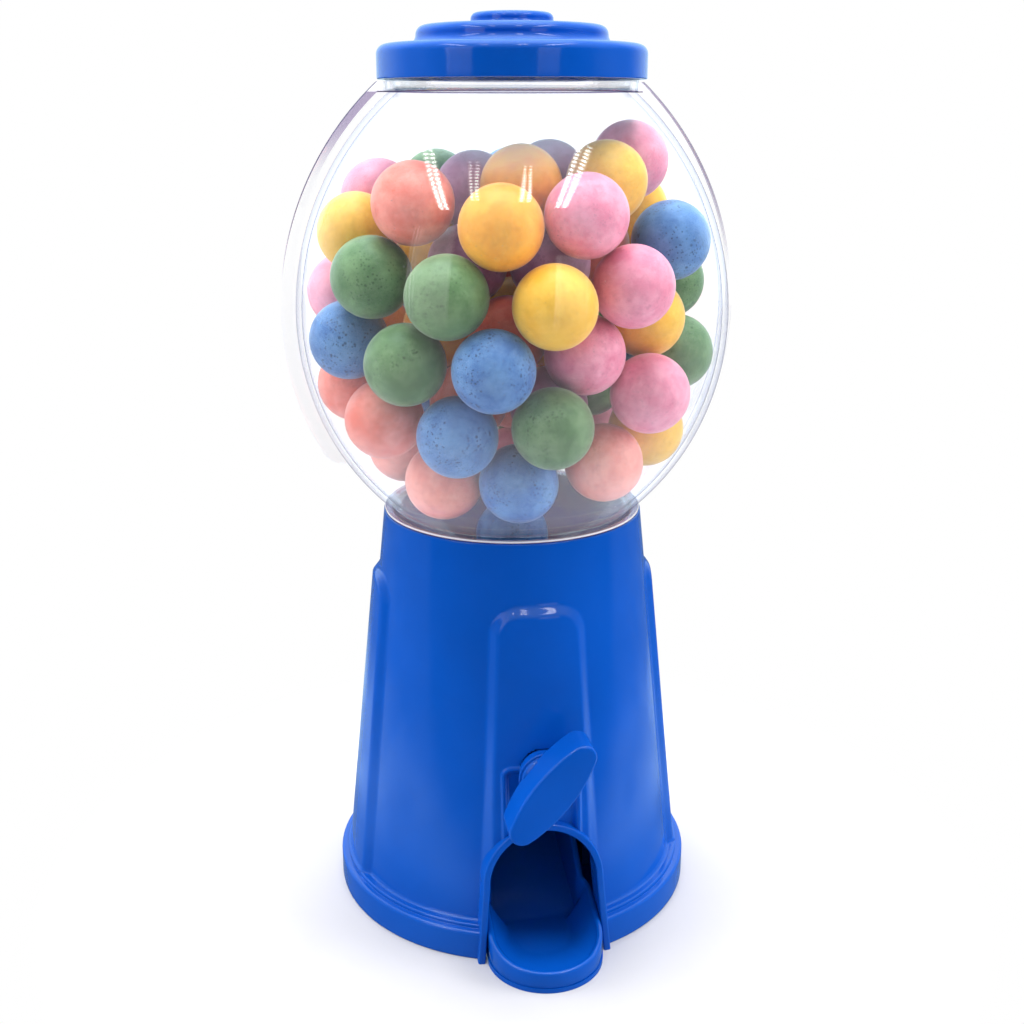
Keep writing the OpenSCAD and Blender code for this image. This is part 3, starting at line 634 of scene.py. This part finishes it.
def tray_stations():
    """(outer edge, outward normal, floor's edge, floor's middle) in plan, round the tray."""
    side = []
    for y in list(np.linspace(BACK_Y, -27.4, 24)) + list(np.linspace(-28.6, -38.3, 14)):
        wide = TRAY_HALF - 1.2 * float(ease((y + 29.2) / 2.2))
        if y > FOLD_Y:
            flat, fy = 9.2, y
        else:
            flat = FLOOR_HALF + 3.2 * float(ease((y + 31.5) / 4))
            fy = FOLD_Y + (y - FOLD_Y) * 5.8 / 10.8
        side.append(((-wide, y), (-1, 0), (-flat, fy), (0, fy)))
    nose = []
    for t in np.linspace(math.pi, 2 * math.pi, 61):
        c, s = math.cos(t), math.sin(t)
        nose.append(((TRAY_HALF * c, NOSE_Y + TRAY_HALF * s), (c, s),
                     (FLOOR_HALF * c, FLOOR_NOSE_Y + FLOOR_HALF * s), (0, FLOOR_NOSE_Y)))
    other = [((-ox, oy), (-nx, ny), (-fx, fy), mid)
             for (ox, oy), (nx, ny), (fx, fy), mid in reversed(side)]
    return side + nose + other


def tray():
    """A scoop with a flat floor, sloping sides and a round edge that runs on as the ramp."""
    rows = []
    corner = 0.84        # the share of the way down the side at which the floor's corner starts
    for (ox, oy), (nx, ny), (fx, fy), (sx, sy) in tray_stations():
        top, floor = float(np.interp(oy, *TRAY_TOP)), tray_floor(fy)
        bottom = 1.0 if oy < FOLD_Y else 1.8
        row = [(ox - nx * 0.5, oy - ny * 0.5, bottom),
               (ox - nx * 0.1, oy - ny * 0.1, bottom + 0.05),
               (ox, oy, bottom + 0.3), (ox, oy, (bottom + top) / 2)]
        for t in np.linspace(0, math.pi, 11):
            inset = TRAY_WALL / 2 - TRAY_WALL / 2 * math.cos(t)
            row.append((ox - nx * inset, oy - ny * inset,
                        top - TRAY_EDGE + TRAY_EDGE * math.sin(t)))
        ix, iy, iz = row[-1]
        for k in range(1, 15):
            t = k / 8 * corner if k < 8 else corner + (k - 8) / 6 * 0.16
            g = t / 0.92 if t < corner else 1 - (1 - t) ** 2 / 0.2944
            row.append((ix + (fx - ix) * t, iy + (fy - iy) * t, iz + (floor - iz) * g))
        for k in (0.34, 0.68, 1.0):
            row.append((fx + (sx - fx) * k, fy + (sy - fy) * k, floor))
        rows.append(row)
    verts = np.array(rows)
    return verts.reshape(-1, 3), grid_faces(*verts.shape[:2])


scoop = piece("tray_scoop", *tray(), BLUE, "machine", "chute_tray", slot="blue_plastic")
weld(scoop, 0.02)
keep_corners(scoop, 60)

# ------------------------------------------------------------------ globe

GLOBE_Z, BELLY_Z, NECK_Z, NECK_TOP = 88.6, 129.3, 173.6, 180.8
BELLY_R, LOW_CURVE, HIGH_CURVE, GLOBE_WALL = 44.6, 52.9, 58.9, 1.2
NECK_R, NECK_BORE, LEDGE_Z = 25.0, 23.4, 175.5
FLANGE_W, FLANGE_T, FLANGE_Z = 3.0, 1.0, 101.6
EDGE_SLOT, RIM_SHADE_SLOT, BEAD_SHADE_SLOT = 1, 2, 3


def globe_r(z, off=0.0):
    """The globe's outer radius at a height, or that of a surface off outside it."""
    curve = HIGH_CURVE if z > BELLY_Z else LOW_CURVE
    return BELLY_R - curve + math.sqrt((curve + off) ** 2 - (z - BELLY_Z) ** 2)


def globe_levels():
    """(z, inner radius, outer radius, flange width) from the foot to the neck's top."""
    levels = [(GLOBE_Z, globe_r(GLOBE_Z, -GLOBE_WALL) + 0.2, globe_r(GLOBE_Z) - 0.2, 0)]
    for z in np.concatenate([np.linspace(GLOBE_Z + 0.2, 98.2, 20), np.linspace(98.6, 102, 14),
                             np.linspace(102.6, 172.4, 130), np.linspace(172.8, 173.5, 3)]):
        flange = globe_r(z, FLANGE_W) - globe_r(z)
        if z < FLANGE_Z:       # the flange's lower end is a quarter round
            drop = (FLANGE_Z - z) / FLANGE_W
            flange = flange * math.sqrt(max(0, 1 - drop * drop)) if drop < 1 else 0
        levels.append((z, globe_r(z, -GLOBE_WALL), globe_r(z), flange))
    inner, outer = globe_r(NECK_Z, -GLOBE_WALL), globe_r(NECK_Z)
    heights = (NECK_Z, NECK_Z + 0.02, NECK_Z + 0.15, NECK_Z + 0.6, 174.9, 175.4)
    reach = [globe_r(z, FLANGE_W) - NECK_R for z in heights]
    return levels + [
        (NECK_Z, inner, outer, reach[0] + NECK_R - outer),
        (NECK_Z + 0.02, inner + 0.1, NECK_R - 0.12, reach[1] + 0.12),
        (NECK_Z + 0.15, inner + 0.25, NECK_R, reach[2]),
        (NECK_Z + 0.6, NECK_BORE, NECK_R, reach[3]),
        (174.9, NECK_BORE, NECK_R, reach[4]), (LEDGE_Z - 0.12, NECK_BORE, NECK_R, reach[5]),
        (LEDGE_Z - 0.02, NECK_BORE, NECK_R, reach[5] - 0.15), (LEDGE_Z, NECK_BORE, NECK_R, 0.0),
        (NECK_Z + 3, NECK_BORE, NECK_R, 0.0), (NECK_TOP - 0.3, NECK_BORE, NECK_R, 0.0),
        (NECK_TOP - 0.08, NECK_R - 1.5, NECK_R - 0.1, 0.0),
        (NECK_TOP, NECK_R - 1.3, NECK_R - 0.3, 0.0)]


def globe_half(side):
    """One half shell with its two flange strips, built up from level cross-sections."""
    gap, around, strip = 0.015, 150, 9
    rows = []
    for z, ri, ro, flange in globe_levels():
        start = math.asin(min(1, FLANGE_T / ro))
        row = [(ri * math.cos(t), max(gap, ri * math.sin(t)), z)
               for t in np.linspace(0, math.pi, around)]
        if flange > 0:
            tip = -ro - flange
            left = [(-ro, gap), (-ro - flange * 0.5, gap), (-ro - max(flange - 0.15, 0), gap),
                    (tip, gap + 0.15), (tip, FLANGE_T - 0.2),
                    (-ro - max(flange - 0.2, 0), FLANGE_T), (-ro - flange * 0.5, FLANGE_T),
                    (-ro * math.cos(start) - min(0.3, flange), FLANGE_T),
                    (-ro * math.cos(start * 1.25), ro * math.sin(start * 1.25))]
        else:
            left = [(-ro * math.cos(a), max(gap, ro * math.sin(a)))
                    for a in np.linspace(0, start * 1.25, strip)]
        row += [(x, y, z) for x, y in left]
        row += [(ro * math.cos(t), ro * math.sin(t), z)
                for t in np.linspace(math.pi - start * 1.25, start * 1.25, around)[1:-1]]
        row += [(-x, y, z) for x, y in reversed(left)]
        rows.append([(x, side * y, level) for x, y, level in row])
    verts = np.array(rows)
    count, width = verts.shape[:2]
    faces = grid_faces(count, width, wrap_cols=True)
    for level in (0, count - 1):         # the foot's and the neck's end faces
        ring = range(level * width, (level + 1) * width)
        inner, outer = ring[:around], ring[around:][::-1][strip:-strip]
        for k in range(len(outer) - 1):
            a = min(around - 2, int(round(k * (around - 1) / (len(outer) - 1))))
            faces.append((inner[a], outer[k], outer[k + 1], inner[a + 1]))
    return verts.reshape(-1, 3), faces


def globe_slot(x, y, z):
    """The material of a face: the neck bends what is behind it, and painted shade darkens the
    flanges' outer edges, the ring where the globe meets the neck and the left flange high up.
    """
    out = math.hypot(x, y)
    # painted shade on the flanges' outer edges high up and on the ring at the neck
    edge = 130 < z < LEDGE_Z + 0.1 and out > globe_r(z, FLANGE_W - 0.3)
    if edge or NECK_Z - 0.1 < z < NECK_Z + 0.1 and out < NECK_R + 1:
        return RIM_SHADE_SLOT
    # painted shade on the outer part of the left flange only, high up
    if 152 < z < NECK_Z and x < 0 and out > globe_r(z, FLANGE_W * 0.55):
        return BEAD_SHADE_SLOT
    return EDGE_SLOT if z > NECK_Z else 0


for label, side in (("front", -1), ("rear", 1)):
    half = piece(f"globe_{label}_shell", *globe_half(side), CLEAR, "machine",
                 f"globe_{label}_half", slot="clear_plastic")
    weld(half, 0.004)
    keep_corners(half, 50)
    for mat in (CLEAR_EDGE, CLEAR_RIM_SHADE, CLEAR_BEAD_SHADE):
        half.data.materials.append(mat)
    for poly in half.data.polygons:
        poly.material_index = globe_slot(*(c / MM for c in poly.center))

# ------------------------------------------------------------------ hopper

THROAT_R, THROAT_BORE, HOPPER_FOOT = 10.8, 9.6, 57.2
HOPPER_R, SEAT_Z, HOPPER_TOP = 27.6, 88.02, 88.58        # its rim lies on the housing's top
LIT_LIP_SLOT, SEAM_SLOT, LIP_FROM = 1, 2, 88.25

hopper = rounded([(THROAT_BORE, HOPPER_FOOT, 0), (THROAT_R, HOPPER_FOOT, 0.2),
                  (THROAT_R, 74.4, 1.0), (25.8, 84.9, 0.3), (25.85, SEAT_Z, 0.1),
                  (HOPPER_R, SEAT_Z, 0.1), (HOPPER_R, LIP_FROM, 0), (HOPPER_R, HOPPER_TOP, 0.25),
                  (26.62, HOPPER_TOP, 0.15), (THROAT_BORE, 76.25, 2.5),
                  (THROAT_BORE, HOPPER_FOOT + 0.1, 0)], 6)
funnel = piece("hopper_funnel", *lathe(refine(hopper, 2.5), 200), CLEAR_HOPPER, "machine",
               "hopper", slot="clear_plastic")
weld(funnel)
keep_corners(funnel, 50)
for mat in (CLEAR_LIP_GLOW, CLEAR_SEAM):
    funnel.data.materials.append(mat)
for poly in funnel.data.polygons:        # the rim's top gets a painted highlight, milky white, and the rim is dark at the housing
    x, y, z = poly.center
    if z > 88.0 * MM and math.hypot(x, y) > 27.2 * MM:
        poly.material_index = LIT_LIP_SLOT if z > LIP_FROM * MM else SEAM_SLOT

# ------------------------------------------------------------------ lid

LID_Z = 175.9
LID_R, SKIRT_H, STEP_R, STEP_H, BUTTON_R, LID_H = 26.7, 6.5, 18.9, 10.0, 8.1, 12.4
SKIRT_BORE, LID_INSIDE, RING_OUT, RING_IN, RING_FOOT = 25.3, 5.1, 23.1, 21.9, 1.2
AXIS_R = 0.02

lid_outside = rounded([
    (SKIRT_BORE, LID_INSIDE, 0), (SKIRT_BORE, 0.0, 0.15), (LID_R, 0.0, 0.25), (LID_R, SKIRT_H, 1.9),
    (STEP_R + 0.05, SKIRT_H, 2.6), (STEP_R, STEP_H, 1.9), (BUTTON_R + 0.05, STEP_H, 1.8),
    (BUTTON_R, LID_H, 1.5), (AXIS_R, LID_H, 0)], 10)
lid_inside = rounded([
    (AXIS_R, 11.0, 0), (6.7, 11.0, 0.8), (6.7, 8.6, 0.8), (17.5, 8.6, 0.8), (17.5, LID_INSIDE, 0.8),
    (RING_IN, LID_INSIDE, 0.2), (RING_IN, RING_FOOT, 0.2), (RING_OUT, RING_FOOT, 0.2),
    (RING_OUT, LID_INSIDE, 0.2), (SKIRT_BORE, LID_INSIDE, 0)], 4)
lid_profile = [(r, z + LID_Z) for r, z in refine(lid_outside + lid_inside[:-1], 1.2)]
weld(piece("lid_cap", *lathe(lid_profile, 256), BLUE, "lid", "lid", slot="blue_plastic"))

# ------------------------------------------------------------------ gumballs

def ball_centres(node):
    """Centres and radii in millimetres of the separate balls in a CAD node."""
    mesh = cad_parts[node].data
    root = list(range(len(mesh.vertices)))

    def find(i):
        """The point that stands for i's ball."""
        while root[i] != i:
            root[i] = root[root[i]]
            i = root[i]
        return i

    seen = {}
    for v in mesh.vertices:
        key = tuple(round(c * 1e6) for c in v.co)       # to the micrometre
        if key in seen:
            root[find(v.index)] = find(seen[key])
        seen[key] = v.index
    for edge in mesh.edges:
        root[find(edge.vertices[0])] = find(edge.vertices[1])
    groups = {}
    for v in mesh.vertices:
        groups.setdefault(find(v.index), []).append(tuple(v.co))
    balls = []
    for points in groups.values():
        points = np.array(points) / MM
        low, high = points.min(0), points.max(0)
        balls.append((tuple((low + high) / 2), float((high - low).max() / 2)))
    return sorted(balls)


def ball_mesh(centres, seed):
    """Smooth balls with the slight unevenness of a sugar shell, kept inside the ball's radius."""
    rng = np.random.default_rng(seed)
    rings, segments, clear, dent_depth = 40, 64, 0.02, 0.055
    verts, faces = [], []
    for centre, radius in centres:
        spin = rng.normal(size=(3, 3))
        spin, _ = np.linalg.qr(spin)
        waves = rng.normal(size=(6, 3)) * 2.2
        phase = rng.uniform(0, 6.28, 6)
        base = len(verts)
        points = [(0, 0, 1)]
        for i in range(1, rings):
            t = math.pi * i / rings
            for j in range(segments):
                a = 2 * math.pi * j / segments
                points.append((math.sin(t) * math.cos(a), math.sin(t) * math.sin(a),
                               math.cos(t)))
        points.append((0, 0, -1))
        unit = np.array(points) @ spin.T
        dent = np.sin(unit @ waves.T + phase).mean(1)
        shape = radius - clear - dent_depth * (1 + dent)
        verts += [tuple(v) for v in unit * shape[:, None] + np.array(centre)]
        for j in range(segments):
            n = (j + 1) % segments
            faces.append((base, base + 1 + j, base + 1 + n))
            last = base + 1 + (rings - 2) * segments
            faces.append((last + n, last + j, base + len(points) - 1))
            for i in range(rings - 2):
                a = base + 1 + i * segments
                faces.append((a + n, a + j, a + segments + j, a + segments + n))
    return verts, faces


for seed, (colour, shell) in enumerate(SHELLS.items()):
    node = f"gumballs_{colour}"
    piece(f"{colour}_gumballs", *ball_mesh(ball_centres(node), seed), shell, "machine", node,
          slot=f"gumball_{colour}")
piece("pocket_gumball", *ball_mesh(ball_centres("gumball_in_wheel"), 20), SHELLS["pink"],
      "knob_wheel", "gumball_in_wheel", slot="gumball_pink")

# ------------------------------------------------------------------ the other CAD nodes

for node, mat in (("dispensing_wheel", WHITE), ("wheel_washer", STEEL), ("wheel_screw", STEEL),
                  ("wheel_cradle", BLUE), ("cradle_screws", STEEL), ("bottom_plate", BLUE),
                  ("bottom_plate_screws", STEEL)):
    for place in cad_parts[node].material_slots:
        place.material = mat

# ------------------------------------------------------------------ stage, light and camera

def white_sheet():
    """A white sheet: real shading near the machine, to keep its shadow, and plain white beyond.

    The machine mirrors it bluish and uneven, dimmer in front of it and right beside it.
    """
    n = material("sheet")
    tone = n.ramp(n.noise(30, 4), (0.3, (0.61, 0.61, 0.63)), (0.7, (0.63, 0.63, 0.65)))
    near = n.principled(tone, 0.7, Specular_IOR_Level=0.1)
    away = n.add("ShaderNodeVectorMath", {0: n.point()}, operation="LENGTH").outputs["Value"]
    far = n.span(away, 0.058, 0.11, 0.0, 1.0)
    beside = n.span(away, 0.055, 0.085, 0.35, 1.0)
    further = n.span(away, 0.105, 0.20, 1.0, 0.30)
    in_front = n.span(n.xyz(n.point())[1], -0.095, -0.045, 0.10, 1.0)
    uneven = n.ramp(n.noise(19, 2, 0.4), (0.40, 0.72), (0.58, 1.0), smooth=True)
    bright = n.times(n.times(beside, further), n.times(in_front, uneven))
    path = n.path()
    seen = n.math("MAXIMUM", path["Is Camera Ray"], path["Is Transmission Ray"])
    through = n.times(path["Is Transmission Ray"], 0.25)
    white = n.emission((1.0, 1.0, 1.0), n.plus(through, 1.0))
    look = n.blend(n.times(seen, far), near, white)
    return n.surface(n.blend(path["Is Glossy Ray"], look, n.emission((0.55, 0.80, 1.0), bright)))


floor = add_mesh("floor", [(-0.9, -0.5, 0), (0.9, -0.5, 0), (0.9, 3, 0), (-0.9, 3, 0)],
                 [(0, 1, 2, 3)], white_sheet())


def light_room():
    """The room: white to the eye, and for soft light less bright in front.

    In mirrors it is bluish, dark in front, and bright behind and above.
    """
    world = bpy.data.worlds.new("studio")
    bpy.context.scene.world = world
    n = Nodes(world, "ShaderNodeOutputWorld")
    _, y, z = n.xyz(n.add("ShaderNodeTexCoord").outputs["Generated"])
    sides = n.span(y, -0.8, 0.1, 0.03, 0.24)
    back = n.span(y, 0.2, 0.75, 0.0, 0.90)
    above = n.span(z, 0.25, 0.85, 0.0, 1.1)
    ceiling = n.span(z, 0.82, 0.94, 0.0, 2.2)
    mirrored = n.plus(n.plus(sides, back), n.plus(above, ceiling))
    soft = n.span(y, -0.98, -0.2, 0.24, 0.54)
    path = n.path()
    only_mirrored = n.math("SUBTRACT", path["Is Glossy Ray"], path["Is Transmission Ray"], True)
    colour = n.mix(only_mirrored, (1.0, 1.0, 1.0), (0.66, 0.88, 1.0))
    level = n.mix_value(path["Is Diffuse Ray"], mirrored, soft)
    level = n.mix_value(path["Is Transmission Ray"], level, 1.25)
    level = n.mix_value(path["Is Camera Ray"], level, 1.0)
    background = n.add("ShaderNodeBackground", {"Color": colour, "Strength": level})
    n.surface(background.outputs[0])


light_room()


def lamp(name, place, target, size, power):
    data = bpy.data.lights.new(name, "AREA")
    data.shape = "RECTANGLE"
    data.size, data.size_y = size
    data.energy = power
    obj = bpy.data.objects.new(name, data)
    obj.location = place
    obj.rotation_euler = (Vector(target) - Vector(place)).to_track_quat("-Z", "Y").to_euler()
    obj.visible_glossy = False
    obj.visible_transmission = False
    bpy.context.scene.collection.objects.link(obj)


lamp("overhead", (0.0, 0.15, 1.1), (0, 0, 0.1), (0.8, 0.8), 19.0)
lamp("front_fill", (0.0, -0.9, 0.45), (0, 0, 0.12), (0.8, 0.3), 0.8)
lamp("left_panel", (-0.95, 0.15, 0.35), (0, 0, 0.08), (0.5, 0.7), 5.5)
lamp("right_panel", (0.92, -0.25, 0.38), (0, 0, 0.08), (0.5, 0.7), 6.5)


def reflector(name, corners, strength, dots=0):
    """A bright sheet that only reflections show; dots makes it a bar of two rows of lamps."""
    n = material(name)
    u, v, _ = n.xyz(n.add("ShaderNodeTexCoord").outputs["UV"])
    if dots:
        along = n.math("ABSOLUTE", n.math("SINE", n.times(v, dots * math.pi)))
        across = n.math("ABSOLUTE", n.math("SINE", n.times(u, 2 * math.pi)))
        dot = n.math("POWER", n.times(along, across), 2.2)
        shape, fade = n.plus(dot, 0.13), n.span(v, 0.0, 1.0, 1.0, 0.55)
    else:
        edge = n.span(n.times(u, n.math("SUBTRACT", 1.0, u)), 0.0, 0.02, 0.0, 1.0)
        stripes = n.ramp(u, (0.03, 0.0), (0.05, 1.4), (0.075, 0.0), (0.11, 0.0), (0.13, 0.9),
                         (0.16, 0.0))
        shape, fade = n.plus(edge, stripes), n.span(v, 0.0, 0.6, 0.0, 1.0)
    glow = n.emission((1.0, 1.0, 1.0), n.times(n.times(shape, fade), strength))
    obj = add_mesh(name, corners, [(0, 1, 2, 3)], n.surface(glow))
    uv = obj.data.uv_layers.new(name="UVMap")
    for loop, place in enumerate(((0, 1), (1, 1), (1, 0), (0, 0))):
        uv.data[loop].uv = place
    for ray in ("camera", "diffuse", "transmission", "shadow", "volume_scatter"):
        setattr(obj, f"visible_{ray}", False)


reflector("bar_1", [(-0.633, 0.091, 0.946), (-0.583, -0.015, 0.99), (-0.614, -0.486, 0.817),
                    (-0.678, -0.418, 0.801)], 24, 14)
reflector("bar_2", [(-0.422, -0.31, 1.032), (-0.319, -0.375, 1.049), (-0.387, -0.593, 0.897),
                    (-0.46, -0.55, 0.888)], 13, 12)
reflector("bar_3", [(-0.003, -0.496, 1.049), (0.089, -0.497, 1.043), (0.046, -0.705, 0.899),
                    (-0.072, -0.699, 0.903)], 19, 12)
reflector("bar_4", [(0.452, -0.222, 1.04), (0.568, -0.189, 0.978), (0.35, -0.682, 0.837),
                    (0.233, -0.715, 0.853)], 25, 16)
reflector("window_left", [(-0.825, -0.312, 0.679), (-0.574, -0.615, 0.747),
                          (-0.691, -0.762, -0.035), (-0.911, -0.465, -0.05)], 1.1)
reflector("window_right", [(0.22, -0.913, 0.587), (0.508, -0.805, 0.553),
                           (0.458, -0.925, -0.007), (0.157, -1.024, 0.004)], 0.8)

YAW, PITCH = math.radians(10.3), math.radians(17.5)
CAMERA_AWAY, CAMERA_UP = 0.2687, 0.1708
SENSOR, PICTURE_PX, FOCAL_PX = 36, 1024, 1285.95
camera_data = bpy.data.cameras.new("camera")
camera_data.sensor_width = SENSOR
camera_data.lens = FOCAL_PX / PICTURE_PX * SENSOR
camera_data.clip_start = 0.01
camera = bpy.data.objects.new("camera", camera_data)
camera.location = (-CAMERA_AWAY * math.sin(YAW), -CAMERA_AWAY * math.cos(YAW), CAMERA_UP)
camera.rotation_euler = (math.pi / 2 - PITCH, 0, -YAW)
bpy.context.scene.collection.objects.link(camera)
bpy.context.scene.camera = camera
bpy.context.scene.view_settings.view_transform = "Standard"
